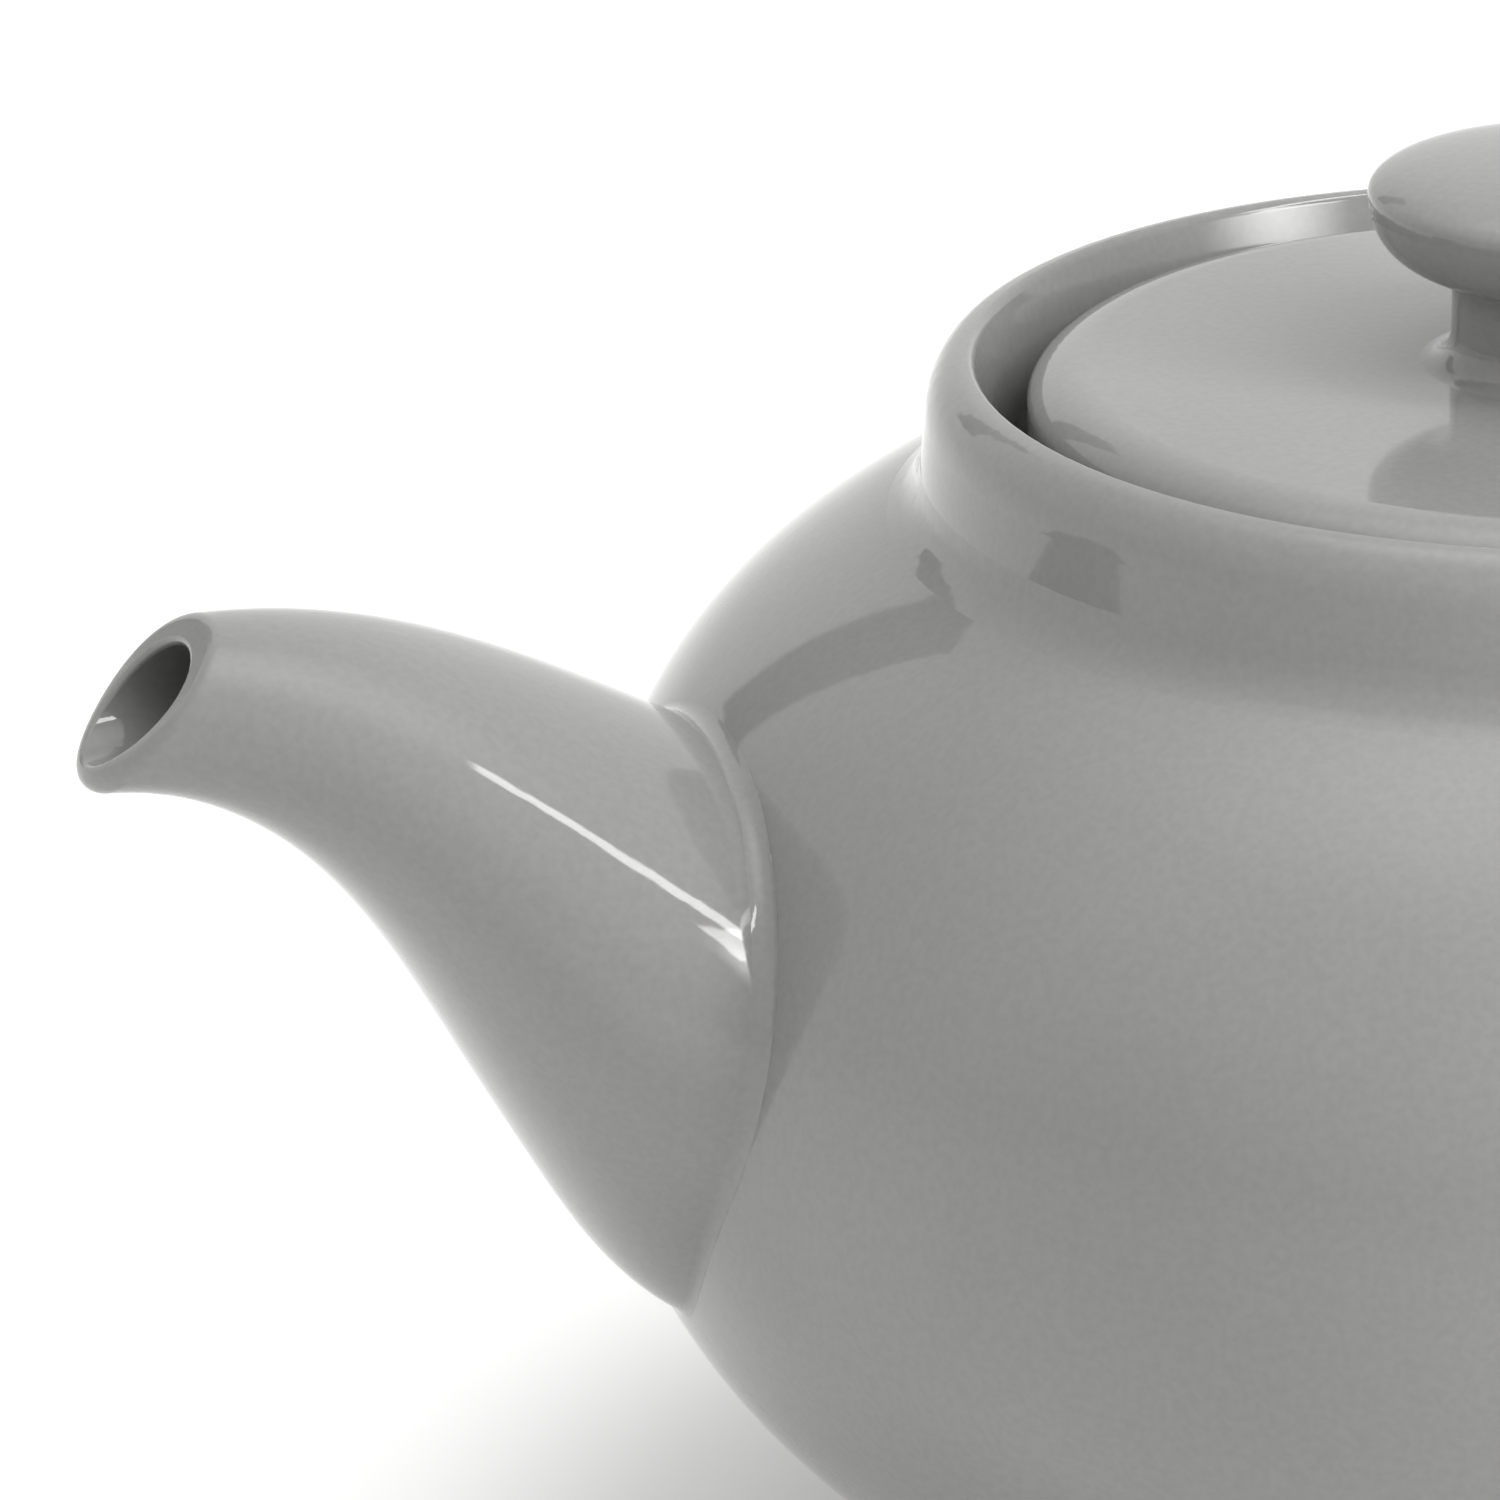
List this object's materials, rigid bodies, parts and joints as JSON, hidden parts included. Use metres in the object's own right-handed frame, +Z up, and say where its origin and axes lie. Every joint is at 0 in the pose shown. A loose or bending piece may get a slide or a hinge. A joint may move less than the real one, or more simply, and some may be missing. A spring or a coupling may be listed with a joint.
{
  "type": "teapot",
  "caption": "Round glazed ceramic teapot with a curved spout cut on a slant, an ear handle, an upright collar and a loose lid with a button knob.",
  "frame": {"origin": "the pot's axis, in the plane of its foot ring", "axes": "+Z up along the pot's axis, -X towards the spout, +X towards the handle"},
  "size_m": [0.2374, 0.154, 0.1199],
  "materials": {
    "grey_glaze": "smooth glossy mid-grey glaze"
  },
  "bodies": {
    "root": {"teapot_body": "grey_glaze", "teapot_spout": "grey_glaze", "teapot_handle": "grey_glaze", "teapot_lid": "grey_glaze"}
  },
  "joints": []
}
